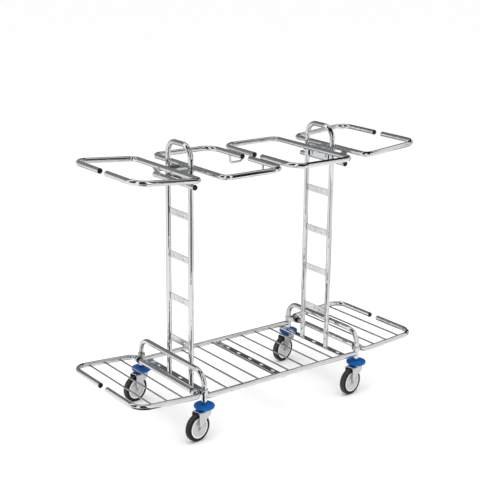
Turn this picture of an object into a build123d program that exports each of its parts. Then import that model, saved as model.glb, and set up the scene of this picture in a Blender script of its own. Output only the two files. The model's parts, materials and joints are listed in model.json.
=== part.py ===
from build123d import *
import os
from math import atan2, degrees, hypot

# Bag trolley of chromed steel tube, in millimetres.
# +Z is up, +X runs along the trolley, -Y is its front, and the origin is on the floor under the middle.

# Tube, wire and fits
TUBE_D = 19.0
TUBE_BORE = 16.0
WIRE_D = 6.0
FIT = 0.05
WELD_SEAT = 0.4

# Castors
WHEEL_D = 100.0
TYRE_W = 23.0
TYRE_SHOULDER = 3.0
RIM_D = 75.0
RIM_W = 22.0
RIM_T = 5.0
WEB_T = 16.0
HUB_D = 26.0
HUB_L = 27.0
HUB_SIDE_CLEAR = 0.3
TRAIL = 32.0
CASTOR_HEADING = 9.0
AXLE_D = 8.0
BUSH_D = 12.0
AXLE_HEX = 13.0
AXLE_HEAD = 5.3
AXLE_NUT = 6.5
AXLE_TIP = 2.0
FORK_T = 3.0
FORK_BEND = 7.0
FORK_END_R = 8.0
CROWN_FRONT = 19.0
CROWN_H = 12.0
CROWN_CLEAR = 4.0
SWIVEL_CLEAR = 0.3
KING_PIN_D = 10.0
KING_HEAD_D = 18.0
KING_HEAD_H = 2.5
HEAD_D = 42.0
HEAD_TOP_D = 30.0
HEAD_H = 7.2
HEAD_RIM = 3.0
STEM_D = 12.0
STEM_IN = 36.0
BUMPER_D = 74.0
BUMPER_T = 11.5

# Base: arches, rails, crossbars and deck wires
LEG_X = 349.0
LEG_Y = 205.0
RAIL_RISE = 28.0
RAIL_NOTCH = 4.75
ARCH_RISE = 114.0
ARCH_BEND = 50.0
BAR_W = 26.0
BAR_T = 4.0
SLOT_L = 20.0
SLOT_W = 9.0
SLOT_PITCH = 70.0
CENTRE_SLOTS = 5
SIDE_SLOTS = 3
WIRES_PER_SIDE = 4
FOOT_BOLT_D = 8.0
FOOT_BOLT_IN = 25.0
FOOT_BOLT_HEX = 13.0
FOOT_BOLT_HEAD = 5.3

# Corner brackets
COLLAR_D = 26.0
EYE_D = 27.0
EYE_W = 16.0
EYE_GAP = 1.0

# Uprights and rungs
UPRIGHT_X = 312.0
UPRIGHT_Y = 70.0
HOOP_RISE = 846.0
HOOP_BEND = 45.0
RUNG_COUNT = 4
RUNG_FIRST_DROP = 164.0
RUNG_PITCH = 156.0
RUNG_H = 25.0
RUNG_T = 3.0
RUNG_HOLE_D = 8.0
RUNG_HOLES = 3
RUNG_HOLE_PITCH = 30.0

# Ring-shaped tubes: the bag holders and the end frames
RING_OUTER_BEND = 50.0
RING_INNER_BEND = 25.0
RING_GAP = 40.0
PLUG_HEAD = 3.0
PLUG_ROUND = 1.5
PLUG_IN = 16.0

# Bag holders
HOLDER_DROP = 84.0
OUTER_OFFSET = 50.0
OUTER_LENGTH = 246.0
OUTER_HALF_W = 206.0
OUTER_TILT = 4.8
MIDDLE_OFFSET = 36.0
MIDDLE_HALF_W = 219.0
LINK_SPAN = 54.0
LINK_D = 9.0
LINK_Y = 98.0
LINK_DROP = 36.0
LINK_BEND = 12.0
STOP_DROP = 44.0
STOP_L = 254.0
STOP_CLEAR = 0.3
STRAP_Y = 90.0
STRAP_W = 32.0
STRAP_T = 3.0

# Hangers on the uprights
PLATE_H = 48.0
PLATE_T = 4.0
PLATE_DROP = 40.0
PLATE_NOTCH_W = 10.0
PLATE_NOTCH_H = 22.0
ARM_T = 4.0
ARM_Y = 37.5
ARM_CRADLE_D = 26.0
ARM_ROOT_W = 18.0
ARM_TOE_W = 6.0
ARM_DROP = 34.0

# End frames
END_OFFSET = 25.0
END_RISE = 14.0
END_LENGTH = 252.0
END_HALF_W = 220.0
END_TILT = 3.5
END_WIRES = 3

# Heights and places that follow from the sizes above
TUBE_R = TUBE_D / 2
AXLE_Z = WHEEL_D / 2
CROWN_Z = WHEEL_D + CROWN_CLEAR + FORK_T
HEAD_Z = CROWN_Z + SWIVEL_CLEAR
BUMPER_Z = HEAD_Z + HEAD_H
LEG_END = BUMPER_Z + BUMPER_T
RAIL_Z = LEG_END + RAIL_RISE
ARCH_Z = LEG_END + ARCH_RISE
BAR_TOP = RAIL_Z - TUBE_R + WELD_SEAT
HOOP_Z = RAIL_Z + HOOP_RISE
HOLDER_Z = HOOP_Z - HOLDER_DROP
OUTER_X = UPRIGHT_X + OUTER_OFFSET
MIDDLE_X = UPRIGHT_X - MIDDLE_OFFSET
MIDDLE_LENGTH = MIDDLE_X - LINK_SPAN / 2
END_X = LEG_X + END_OFFSET
END_Z = RAIL_Z + END_RISE
EYE_Y = END_HALF_W - RING_INNER_BEND - EYE_GAP - EYE_W / 2
WIRE_PITCH = UPRIGHT_X / (WIRES_PER_SIDE + 0.5)
CORNERS = {
    "front_left": (-LEG_X, -LEG_Y),
    "back_left": (-LEG_X, LEG_Y),
    "front_right": (LEG_X, -LEG_Y),
    "back_right": (LEG_X, LEG_Y),
}


def save(node, *solids):
    """Write one node, a single solid or a group of separate solids."""
    shape = solids[0] if len(solids) == 1 else Compound(children=list(solids))
    export_step(shape, f"parts/{node}.step")


def save_pair(node, *solids):
    """Write a right-hand node and its mirror image on the left."""
    save(f"{node}_right", *solids)
    save(f"{node}_left", *[mirror(solid, about=Plane.YZ) for solid in solids])


def rod(start, end, diameter):
    """Straight round bar from one point to another."""
    axis = Vector(*end) - Vector(*start)
    return extrude(Plane(origin=start, z_dir=axis) * Circle(diameter / 2), amount=axis.length)


def bent_tube(points, radii, diameter=TUBE_D):
    """Round tube along straight runs joined by tangent bends."""
    path = FilletPolyline(*points, radius=radii)
    return sweep(Plane(origin=path @ 0, z_dir=path % 0) * Circle(diameter / 2), path=path)


def hex_prism(across_flats, height):
    """Hexagon head or nut standing on the ground plane."""
    return extrude(RegularPolygon(across_flats / 2, 6, major_radius=False), amount=height)


def turned(*outline):
    """Solid of revolution about Z from radius and height pairs."""
    return revolve(make_face(Plane.XZ * Polyline(*outline, close=True)), axis=Axis.Z)


def line_of(count, pitch):
    """Places of a centred row."""
    return [(index - (count - 1) / 2) * pitch for index in range(count)]


def plug(at, inward):
    """Black end plug: a domed head outside the tube and a spigot in its bore."""
    spigot_r = TUBE_BORE / 2 - FIT
    head_corner = TUBE_R - PLUG_ROUND
    body = turned(
        (0, -PLUG_HEAD),
        (head_corner, -PLUG_HEAD),
        (TUBE_R, PLUG_ROUND - PLUG_HEAD),
        (TUBE_R, 0),
        (spigot_r, 0),
        (spigot_r, PLUG_IN),
        (0, PLUG_IN),
    )
    return Plane(origin=at, z_dir=inward) * body


def plug_bore(at, inward):
    """Bore of a tube end that takes a plug."""
    return Plane(origin=at, z_dir=inward) * extrude(Circle(TUBE_BORE / 2), amount=PLUG_IN + FIT)


def ring_ends(length):
    """Tube ends either side of the gap in a ring's outer bar, and the way into each tube."""
    end_y = RING_GAP / 2 + PLUG_HEAD
    return [((length, end_y, 0), (0, 1, 0)), ((length, -end_y, 0), (0, -1, 0))]


def ring(length, half_width):
    """Open ring of tube with its inner bar on the Y axis, reaching out along +X."""
    (back_end, _), (front_end, _) = ring_ends(length)
    corners = [(length, half_width, 0), (0, half_width, 0), (0, -half_width, 0), (length, -half_width, 0)]
    bends = [RING_OUTER_BEND, RING_INNER_BEND, RING_INNER_BEND, RING_OUTER_BEND]
    tube = bent_tube([back_end, *corners, front_end], bends)
    for at, inward in ring_ends(length):
        tube -= plug_bore(at, inward)
    return tube


def ring_plugs(length):
    """The two plugs that close a ring's gap."""
    return [plug(at, inward) for at, inward in ring_ends(length)]


def slotted_bar(x, slots, bolted):
    """Flat perforated crossbar, saddled into the undersides of both rails and ending under their middles."""
    outline = Rectangle(BAR_W, 2 * LEG_Y)
    for y in slots:
        outline -= Pos(0, y) * SlotOverall(SLOT_L, SLOT_W, rotation=90)
    if bolted:
        for y in (-UPRIGHT_Y, UPRIGHT_Y):
            outline -= Pos(0, y) * Circle(FOOT_BOLT_D / 2 + FIT)
    bar = Pos(x, 0, BAR_TOP - BAR_T) * extrude(outline, amount=BAR_T)
    for y in (-LEG_Y, LEG_Y):
        bar -= rod((x - BAR_W, y, RAIL_Z), (x + BAR_W, y, RAIL_Z), TUBE_D)
    return bar


def base():
    """Rails, crossbars, deck wires, arches and corner brackets."""
    bracket = corner_bracket()
    brackets = [bracket, mirror(bracket, about=Plane.XZ)]
    save_pair("corner_brackets", *brackets)

    legs = [rod((x, y, LEG_END), (x, y, ARCH_Z), TUBE_D) for x, y in CORNERS.values()]
    rail_end = LEG_X - RAIL_NOTCH
    rails = {}
    for side, y in (("front", -LEG_Y), ("back", LEG_Y)):
        rails[side] = rod((-rail_end, y, RAIL_Z), (rail_end, y, RAIL_Z), TUBE_D) - legs
        save(f"side_rail_{side}", rails[side])

    wires = []
    for index in range(WIRES_PER_SIDE):
        for sign in (-1, 1):
            x = sign * WIRE_PITCH * (index + 0.5)
            wire = rod((x, -LEG_Y, RAIL_Z), (x, LEG_Y, RAIL_Z), WIRE_D)
            wires.append(wire - list(rails.values()))
    save("deck_wires", *wires)

    save("crossbar_centre", slotted_bar(0, line_of(CENTRE_SLOTS, SLOT_PITCH), False))
    side_slots = line_of(SIDE_SLOTS, 2 * SLOT_PITCH)
    save_pair("crossbar", slotted_bar(UPRIGHT_X, side_slots, True))

    foot = [(LEG_X, y, LEG_END) for y in (-LEG_Y, LEG_Y)]
    arch = bent_tube([foot[0], (LEG_X, -LEG_Y, ARCH_Z), (LEG_X, LEG_Y, ARCH_Z), foot[1]], ARCH_BEND)
    for at in foot:
        arch -= rod(at, (at[0], at[1], LEG_END + STEM_IN + FIT), TUBE_BORE)
    save_pair("arch", arch)


def corner_bracket():
    """Collar on the back right leg, standing on the rail, with a hinge eye for the end frame's inner bar."""
    bottom = RAIL_Z + TUBE_R
    top = END_Z + EYE_D / 2
    collar = rod((LEG_X, LEG_Y, bottom), (LEG_X, LEG_Y, top), COLLAR_D)
    eye = rod((END_X, EYE_Y - EYE_W / 2, END_Z), (END_X, EYE_Y + EYE_W / 2, END_Z), EYE_D)
    lug_right = END_X - TUBE_R - EYE_GAP
    lug_link = Pos((LEG_X + lug_right) / 2, EYE_Y) * Rectangle(lug_right - LEG_X, EYE_W)
    lug_root = Pos(LEG_X, LEG_Y) * Circle(COLLAR_D / 2)
    lug_plan = make_hull(lug_link.edges() + lug_root.edges())
    lug = Pos(0, 0, bottom) * extrude(lug_plan, amount=top - bottom)
    leg_hole = rod((LEG_X, LEG_Y, bottom), (LEG_X, LEG_Y, top), TUBE_D + 2 * FIT)
    bar_hole = rod((END_X, EYE_Y - EYE_W, END_Z), (END_X, EYE_Y + EYE_W, END_Z), TUBE_D + 2 * FIT)
    return collar + lug + eye - leg_hole - bar_hole


def uprights():
    """Ladder uprights with hooped tops, their rungs and foot bolts."""
    feet = [(UPRIGHT_X, y, BAR_TOP) for y in (-UPRIGHT_Y, UPRIGHT_Y)]
    tops = [(UPRIGHT_X, y, HOOP_Z) for y in (-UPRIGHT_Y, UPRIGHT_Y)]
    hoop = bent_tube([feet[0], *tops, feet[1]], HOOP_BEND)
    posts = [rod(foot, top, TUBE_D) for foot, top in zip(feet, tops)]

    bolts = []
    for x, y, z in feet:
        hoop -= rod((x, y, z), (x, y, z + FOOT_BOLT_IN + FIT), FOOT_BOLT_D + 2 * FIT)
        head = Pos(x, y, z - BAR_T - FOOT_BOLT_HEAD) * hex_prism(FOOT_BOLT_HEX, FOOT_BOLT_HEAD)
        bolts.append(head + rod((x, y, z - BAR_T), (x, y, z + FOOT_BOLT_IN), FOOT_BOLT_D))
    save_pair("upright", hoop)
    save_pair("foot_bolts", *bolts)

    outline = Rectangle(2 * UPRIGHT_Y, RUNG_H)
    for y in line_of(RUNG_HOLES, RUNG_HOLE_PITCH):
        outline -= Pos(y, 0) * Circle(RUNG_HOLE_D / 2)
    rungs = []
    for index in range(RUNG_COUNT):
        z = HOLDER_Z - RUNG_FIRST_DROP - index * RUNG_PITCH
        facing = Plane(origin=(UPRIGHT_X, 0, z), x_dir=(0, 1, 0), z_dir=(1, 0, 0))
        rungs.append(extrude(facing * outline, amount=RUNG_T / 2, both=True) - posts)
    save_pair("rungs", *rungs)

    hangers(posts)


def hangers(posts):
    """Top plate notched beside the posts, and two cradle arms through it that carry both holders' bars."""
    bottom = HOLDER_Z - PLATE_DROP
    facing = Plane(origin=(UPRIGHT_X, 0, bottom), x_dir=(0, 1, 0), z_dir=(1, 0, 0))
    outline = Pos(0, PLATE_H / 2) * Rectangle(2 * UPRIGHT_Y, PLATE_H)
    notch_w = TUBE_R + PLATE_NOTCH_W
    notch = Pos(UPRIGHT_Y - notch_w / 2, PLATE_NOTCH_H / 2) * Rectangle(notch_w, PLATE_NOTCH_H)
    window = Pos(ARM_Y, PLATE_DROP - ARM_DROP / 2) * Rectangle(ARM_T + 2 * FIT, ARM_DROP + 2 * FIT)
    for cut in (notch, window):
        outline = outline - cut - mirror(cut, about=Plane.YZ)
    save_pair("hanger_plate", extrude(facing * outline, amount=PLATE_T / 2, both=True) - posts)

    cradle_r = ARM_CRADLE_D / 2
    span = OUTER_X - MIDDLE_X + ARM_CRADLE_D
    middle = Pos((MIDDLE_X + OUTER_X) / 2, HOLDER_Z)
    shape = middle * SlotOverall(span, ARM_CRADLE_D)
    shape -= middle * Pos(0, cradle_r) * Rectangle(2 * span, ARM_CRADLE_D)
    root = (ARM_ROOT_W / 2, -cradle_r / 2)
    toe = (ARM_TOE_W / 2, -ARM_DROP)
    gusset = make_face(Polyline(root, toe, (-toe[0], toe[1]), (-root[0], root[1]), close=True))
    shape += Pos(UPRIGHT_X, HOLDER_Z) * gusset
    for x in (MIDDLE_X, OUTER_X):
        shape -= Pos(x, HOLDER_Z) * Circle(TUBE_R + FIT)
    arm = extrude(Plane.XZ * shape, amount=ARM_T / 2, both=True)
    save_pair("hanger_arms", Pos(0, -ARM_Y, 0) * arm, Pos(0, ARM_Y, 0) * arm)


def middle_holders():
    """The two level bag rings between the uprights and the rods that tie them together."""
    place = Pos(MIDDLE_X, 0, HOLDER_Z) * Rot(0, 0, 180)
    save_pair("middle_holder", place * ring(MIDDLE_LENGTH, MIDDLE_HALF_W))
    save_pair("middle_plugs", *[place * piece for piece in ring_plugs(MIDDLE_LENGTH)])

    bar_x = LINK_SPAN / 2
    low_z = HOLDER_Z - LINK_DROP
    links = []
    for y in (-LINK_Y, LINK_Y):
        route = [(-bar_x, y, HOLDER_Z), (-bar_x, y, low_z), (bar_x, y, low_z), (bar_x, y, HOLDER_Z)]
        link = bent_tube(route, LINK_BEND, LINK_D)
        for x in (-bar_x, bar_x):
            link -= rod((x, y - TUBE_D, HOLDER_Z), (x, y + TUBE_D, HOLDER_Z), TUBE_D)
        links.append(link)
    save("link_rods", *links)


def outer_holders():
    """Hinged bag rings at both ends, each with a stop tube that leans on the upright."""
    hinge = Pos(OUTER_X, 0, HOLDER_Z)
    place = hinge * Rot(0, -OUTER_TILT, 0)
    save_pair("outer_holder", place * ring(OUTER_LENGTH, OUTER_HALF_W))

    stop_x = UPRIGHT_X + TUBE_D + STOP_CLEAR
    stop_z = HOLDER_Z - STOP_DROP
    half_l = STOP_L / 2 - PLUG_HEAD
    stop = rod((stop_x, -half_l, stop_z), (stop_x, half_l, stop_z), TUBE_D)
    ends = [((stop_x, -half_l, stop_z), (0, 1, 0)), ((stop_x, half_l, stop_z), (0, -1, 0))]
    for at, inward in ends:
        stop -= plug_bore(at, inward)
    save_pair("holder_stop", stop)
    plugs = [place * piece for piece in ring_plugs(OUTER_LENGTH)]
    save_pair("outer_plugs", *plugs, *[plug(at, inward) for at, inward in ends])

    reach = hypot(OUTER_X - stop_x, STOP_DROP)
    lean = degrees(atan2(OUTER_X - stop_x, STOP_DROP))
    straps = []
    for y in (-STRAP_Y, STRAP_Y):
        strap = Pos(0, y, -reach / 2) * Box(STRAP_T, STRAP_W, reach)
        strap -= rod((0, y - STRAP_W, 0), (0, y + STRAP_W, 0), TUBE_D)
        strap -= rod((0, y - STRAP_W, -reach), (0, y + STRAP_W, -reach), TUBE_D)
        straps.append(hinge * Rot(0, lean, 0) * strap)
    save_pair("holder_straps", *straps)


def end_frames():
    """Hinged base frames at both ends with their cross wires."""
    place = Pos(END_X, 0, END_Z) * Rot(0, -END_TILT, 0)
    frame = ring(END_LENGTH, END_HALF_W)
    save_pair("end_frame", place * frame)
    save_pair("end_plugs", *[place * piece for piece in ring_plugs(END_LENGTH)])

    wires = []
    for index in range(1, END_WIRES + 1):
        x = END_LENGTH * index / (END_WIRES + 1)
        wire = rod((x, -END_HALF_W, 0), (x, END_HALF_W, 0), WIRE_D)
        wires.append(place * (wire - frame))
    save_pair("end_wires", *wires)


def castor_stem():
    """Stem that plugs into a leg, with the swivel head and the king pin under it."""
    pin_end = CROWN_Z - FORK_T - SWIVEL_CLEAR
    return turned(
        (0, LEG_END + STEM_IN),
        (TUBE_BORE / 2 - FIT, LEG_END + STEM_IN),
        (TUBE_BORE / 2 - FIT, LEG_END),
        (STEM_D / 2, LEG_END),
        (STEM_D / 2, BUMPER_Z),
        (HEAD_TOP_D / 2, BUMPER_Z),
        (HEAD_D / 2, HEAD_Z + HEAD_RIM),
        (HEAD_D / 2, HEAD_Z),
        (KING_PIN_D / 2, HEAD_Z),
        (KING_PIN_D / 2, pin_end),
        (KING_HEAD_D / 2, pin_end),
        (KING_HEAD_D / 2, pin_end - KING_HEAD_H),
        (0, pin_end - KING_HEAD_H),
    )


def bumper():
    """Round-edged bumper disc between the leg and the swivel head."""
    hole_r = STEM_D / 2 + FIT
    round_r = BUMPER_T / 2
    edge_x = BUMPER_D / 2 - round_r
    rim = ThreePointArc((edge_x, 0), (BUMPER_D / 2, round_r), (edge_x, BUMPER_T))
    rest = Polyline((edge_x, BUMPER_T), (hole_r, BUMPER_T), (hole_r, 0), (edge_x, 0))
    outline = make_face(Plane.XZ * (rim + rest))
    return Pos(0, 0, BUMPER_Z) * revolve(outline, axis=Axis.Z)


def fork():
    """Pressed fork: a bent U trimmed to sweep back to the axle, with a round swivel race on its crown."""
    inner_w = HUB_L + 2 * HUB_SIDE_CLEAR
    outer_w = inner_w + 2 * FORK_T
    low = AXLE_Z - FORK_END_R
    back = TRAIL + FORK_END_R
    race = Circle(HEAD_D / 2)
    shell = section_u(outer_w, CROWN_Z, FORK_BEND, low)
    hollow = section_u(inner_w, CROWN_Z - FORK_T, FORK_BEND - FORK_T, low)
    body = extrude(Plane.YZ * (shell - hollow), amount=back, both=True)

    crown = Pos((CROWN_FRONT - back) / 2, CROWN_Z - CROWN_H / 2) * Rectangle(CROWN_FRONT + back, CROWN_H)
    end = Pos(-TRAIL, AXLE_Z) * Circle(FORK_END_R)
    side = make_hull(crown.edges() + end.edges())
    plan = race + Pos(-back / 2, 0) * Rectangle(back, outer_w)
    body &= extrude(Plane.XZ * side, amount=outer_w, both=True)
    body &= extrude(plan, amount=CROWN_Z)
    body += Pos(0, 0, CROWN_Z - FORK_T) * extrude(race, amount=FORK_T)
    body -= rod((0, 0, CROWN_Z - 2 * FORK_T), (0, 0, CROWN_Z + FORK_T), KING_PIN_D + 2 * FIT)
    return body - rod((-TRAIL, -outer_w, AXLE_Z), (-TRAIL, outer_w, AXLE_Z), AXLE_D + 2 * FIT)


def section_u(width, top, bend, low):
    """Upright rectangle with its two top corners rounded."""
    outline = Pos(0, (top + low) / 2) * Rectangle(width, top - low)
    return fillet(outline.vertices().group_by(Axis.Y)[-1], bend)


def axle():
    """Axle bolt with its head at the front, its nut at the back and the bush that the wheel turns on."""
    outer_w = HUB_L + 2 * HUB_SIDE_CLEAR + 2 * FORK_T
    head = Pos(0, 0, -outer_w / 2 - AXLE_HEAD) * hex_prism(AXLE_HEX, AXLE_HEAD)
    bolt = head + rod((0, 0, -outer_w / 2), (0, 0, outer_w / 2 + AXLE_NUT + AXLE_TIP), AXLE_D)
    nut = Pos(0, 0, outer_w / 2) * hex_prism(AXLE_HEX, AXLE_NUT)
    nut -= rod((0, 0, 0), (0, 0, outer_w), AXLE_D + 2 * FIT)
    bush_wall = Circle(BUSH_D / 2) - Circle(AXLE_D / 2 + FIT)
    bush = extrude(bush_wall, amount=HUB_L / 2 + HUB_SIDE_CLEAR, both=True)
    return bolt, nut, bush


def wheel_centre():
    """Wheel centre: hub, dished web and rim, turned about its own axis."""
    bore_r = BUSH_D / 2 + FIT
    web_r = RIM_D / 2 - RIM_T
    half = [(bore_r, HUB_L / 2), (HUB_D / 2, HUB_L / 2), (HUB_D / 2, WEB_T / 2), (web_r, WEB_T / 2)]
    half += [(web_r, RIM_W / 2), (RIM_D / 2, RIM_W / 2)]
    return turned(*half, *[(r, -w) for r, w in reversed(half)])


def tyre():
    """Tyre with a rounded tread, seated on the rim."""
    rim_r = RIM_D / 2
    tread_r = WHEEL_D / 2
    shoulder = (tread_r - TYRE_SHOULDER, TYRE_W / 2)
    tread = ThreePointArc((shoulder[0], -shoulder[1]), (tread_r, 0), shoulder)
    rest = Polyline(shoulder, (rim_r, RIM_W / 2), (rim_r, -RIM_W / 2), (shoulder[0], -shoulder[1]))
    return revolve(make_face(Plane.XZ * (tread + rest)), axis=Axis.Z)


def castors():
    """Four swivel castors, all trailing towards the left."""
    on_axle = Pos(-TRAIL, 0, AXLE_Z) * Rot(-90, 0, 0)
    save("castor_stems", *[Pos(x, y, 0) * castor_stem() for x, y in CORNERS.values()])
    save("bumpers", *[Pos(x, y, 0) * bumper() for x, y in CORNERS.values()])
    for corner, (x, y) in CORNERS.items():
        spot = Pos(x, y, 0) * Rot(0, 0, CASTOR_HEADING)
        save(f"castor_fork_{corner}", spot * fork())
        save(f"castor_axle_{corner}", *[spot * on_axle * piece for piece in axle()])
        save(f"castor_wheel_{corner}", spot * on_axle * wheel_centre())
        save(f"castor_tyre_{corner}", spot * on_axle * tyre())


os.makedirs("parts", exist_ok=True)
base()
uprights()
middle_holders()
outer_holders()
end_frames()
castors()
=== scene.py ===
import json
from itertools import product
from math import cos, pi, radians, sin, tan

import bpy
import numpy as np
from mathutils import Matrix, Vector


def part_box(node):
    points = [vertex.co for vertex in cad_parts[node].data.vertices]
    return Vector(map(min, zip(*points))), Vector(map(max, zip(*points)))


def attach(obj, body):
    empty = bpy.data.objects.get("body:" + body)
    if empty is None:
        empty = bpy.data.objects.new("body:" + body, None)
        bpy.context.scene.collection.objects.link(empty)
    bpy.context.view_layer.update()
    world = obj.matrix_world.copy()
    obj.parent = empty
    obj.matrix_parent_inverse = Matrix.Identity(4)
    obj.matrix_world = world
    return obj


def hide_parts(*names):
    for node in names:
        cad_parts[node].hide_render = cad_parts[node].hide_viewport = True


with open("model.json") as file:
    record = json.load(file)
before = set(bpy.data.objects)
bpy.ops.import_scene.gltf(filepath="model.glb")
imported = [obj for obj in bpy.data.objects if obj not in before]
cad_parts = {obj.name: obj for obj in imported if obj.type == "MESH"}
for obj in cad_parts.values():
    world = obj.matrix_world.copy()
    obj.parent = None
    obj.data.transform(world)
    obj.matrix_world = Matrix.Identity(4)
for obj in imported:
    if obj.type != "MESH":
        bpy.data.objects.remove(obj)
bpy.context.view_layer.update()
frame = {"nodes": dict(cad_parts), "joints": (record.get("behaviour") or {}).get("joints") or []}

# Sizes of the tubes, bars and plates that the boxes of the nodes don't give, in metres
ARCH_BEND = 0.050
HOOP_BEND = 0.045
RING_OUTER_BEND = 0.050
RING_INNER_BEND = 0.025
RING_GAP = 0.040
LINK_BEND = 0.012
BORE_R = 0.008
BORE_PLAY = 0.0001
PLUG_HEAD = 0.003
PLUG_CROWN = 0.0004
PLUG_EDGE = 0.0018
PLUG_IN = 0.016
DECK_WIRES = 8
END_WIRES = 3
WIRE_IN = 0.002
RUNG_H = 0.025
RUNG_COUNT = 4
STRAP_W = 0.032
STRAP_T = 0.003
NOTCH_H = 0.022
NOTCH_W = 0.010
EYE_W = 0.016
EYE_GAP = 0.001
FLAT_EDGE = 0.0006
NODE_MERGE = 0.00001

# Plug heads, bolt tips and king pins are turned from this close to their axis, and a fan closes the rest
AXIS_GAP = 0.0005
KING_AXIS_GAP = 0.0002

# Trim: weld beads, with shares of their radius, and hinge collars and inserts
BEAD_R = 0.0014
BEAD_OFF_ROD = 0.3
BEAD_OFF_ARM = 0.4
BEAD_OFF_TUBE = 0.5
COLLAR_BEAD = 0.7
RIPPLE = 0.0021
RUNG_SEAM_IN = 0.0015
BAR_SEAM_IN = 0.001
PLATE_SEAM_FOOT = 0.001
PLATE_SEAM_TOP = 0.002
ARM_SEAM_FOOT = 0.002
ARM_SEAM_TOP = 0.020
HINGE_COLLAR_D = 0.0236
HINGE_COLLAR_L = 0.0095
HINGE_COLLAR_PLAY = 0.00005
HINGE_COLLAR_IN = 0.0004
INSERT_PROUD = 0.0006
INSERT_PLAY = 0.0002
INSERT_EDGE = 0.0008

# Castors
FORK_T = 0.003
FORK_W = 0.0336
FORK_BEND = 0.007
FORK_EDGE = 0.0005
CROWN_FRONT = 0.019
CROWN_H = 0.012
SWIVEL_CLEAR = 0.0003
HEAD_R = 0.021
HEAD_RIM = 0.0032
HEAD_TOP_R = 0.015
NECK_LOW_R = 0.0065
NECK_TOP_R = 0.006
BUMPER_BORE_R = 0.0062
BUMPER_BELLY = 0.0058
BUMPER_FOOT_IN = 0.002
BUMPER_TOP_IN = 0.0022
BUMPER_LIP_R = 0.018
BUMPER_DISH_R = 0.0125
BUMPER_DISH = 0.0012
KING_HEAD_R = 0.009
KING_PIN_R = 0.005
AXLE_R = 0.004
AXLE_TIP = 0.0085
AXLE_HEX = 0.013
HEX_FACE = 0.94
AXLE_HEAD = 0.0041
AXLE_NUT = 0.0053
WASHER_T = 0.0012
BUSH_R = 0.006
BUSH_HALF = 0.0138

# Outlines of turned pieces on the axle, as pairs of reach from it and place along it. The wheel centre and
# the tyre have one half of theirs, with the rounding of its corners
WASHER = [
    (0.0042, 0.0), (0.0078, 0.0), (0.0080, 0.0003), (0.0080, 0.0010), (0.0077, WASHER_T), (0.0042, WASHER_T),
]
WHEEL_HALF = [
    (0.0061, 0.0135), (0.0125, 0.0135), (0.0145, 0.0078), (0.0300, 0.0072), (0.0325, 0.0108),
    (0.0375, 0.0110), (0.0375, 0.0),
]
WHEEL_ROUNDING = [0.0012, 0.003, 0.003, 0.0012, 0.0006]
TYRE_HALF = [(0.0374, 0.0109), (0.0400, 0.0114), (0.0462, 0.0115), (0.0500, 0.0072), (0.0500, 0.0)]
TYRE_ROUNDING = [0.002, 0.003, 0.006]

# Camera: bearings in degrees, its place in metres, and the focal length in pixels of the photograph
CAMERA_HEADING = 36.534
CAMERA_DIP = 16.144
CAMERA_ROLL = 0.563
CAMERA_AT = (-2.4344, -3.2167, 1.7745)
FOCAL_PX = 1155.5
PHOTO_PX = 480
SENSOR_MM = 36.0

# Studio, in metres
FLOOR_REACH = 60.0
CARD_LIFT = 0.002


# Surfaces

def unit(vector):
    """A vector divided by its own length."""
    vector = np.asarray(vector, float)
    return vector / np.linalg.norm(vector)


def circle(sides):
    """Angles of a ring's corners."""
    return np.linspace(0, 2 * pi, sides, endpoint=False)


def axes_across(axis):
    """An axis of length one and two directions square to it and to each other: the first is its cross product
    with a slanting direction that isn't along it, and the second its cross product with the first."""
    axis = unit(axis)
    slant = (0.31, 0.17, 0.93) if abs(axis[2]) < 0.9 else (1.0, 0.0, 0.0)
    first = unit(np.cross(axis, slant))
    return axis, first, np.cross(axis, first)


def route(points, bends, steps=16):
    """Centre line of a bent bar and its directions. Each corner is cut by an arc that touches both runs: its
    centre lies on the bisector at bend / sin(half angle), and its points are the centre plus cos(turn) times
    the arm to the first touching point plus sin(turn) times the bend along the first run."""
    points = [np.asarray(point, float) for point in points]
    spots = [points[0][None]]
    ways = [unit(points[1] - points[0])[None]]
    for before, corner, after, bend in zip(points, points[1:], points[2:], bends):
        back, on = unit(before - corner), unit(after - corner)
        half = np.arccos(np.clip(back @ on, -1, 1)) / 2
        centre = corner + unit(back + on) * bend / sin(half)
        arm = corner + back * bend / tan(half) - centre
        turn = np.linspace(0, pi - 2 * half, steps)[:, None]
        spots.append(centre + arm * np.cos(turn) - back * bend * np.sin(turn))
        ways.append(-arm / bend * np.sin(turn) - back * np.cos(turn))
    spots.append(points[-1][None])
    ways.append(unit(points[-1] - points[-2])[None])
    return np.vstack(spots), np.vstack(ways)


def tube(points, bends, radius, across, sides=32):
    """Round bar along a flat route: each ring is the centre plus the radius times cos(angle) of the route's
    plane normal and sin(angle) of the direction crossed with that normal."""
    spots, ways = route(points, bends)
    across = unit(across)
    side = np.cross(ways, across)
    angle = circle(sides)[None, :, None]
    return shell(spots[:, None] + radius * (np.cos(angle) * across + np.sin(angle) * side[:, None]))


def lathe(profile, origin, axis, sides=64, loop=False):
    """Surface of revolution: each profile pair (radius, height) becomes the ring at that height along the
    axis, radius times cos(angle) of one direction across the axis and sin(angle) of the other."""
    profile = np.asarray(profile, float)
    axis, first, second = axes_across(axis)
    angle = circle(sides)[None, :, None]
    around = np.cos(angle) * first + np.sin(angle) * second
    rings = np.asarray(origin, float) + profile[:, None, 1:] * axis + profile[:, None, :1] * around
    return shell(rings, loop)


def rounded(corners, radii, steps=5):
    """Flat outline with its corners rounded, by the same touching arcs as a bent bar."""
    flat = [(x, y, 0.0) for x, y in corners]
    return route(flat, radii, steps)[0][:, :2]


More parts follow.
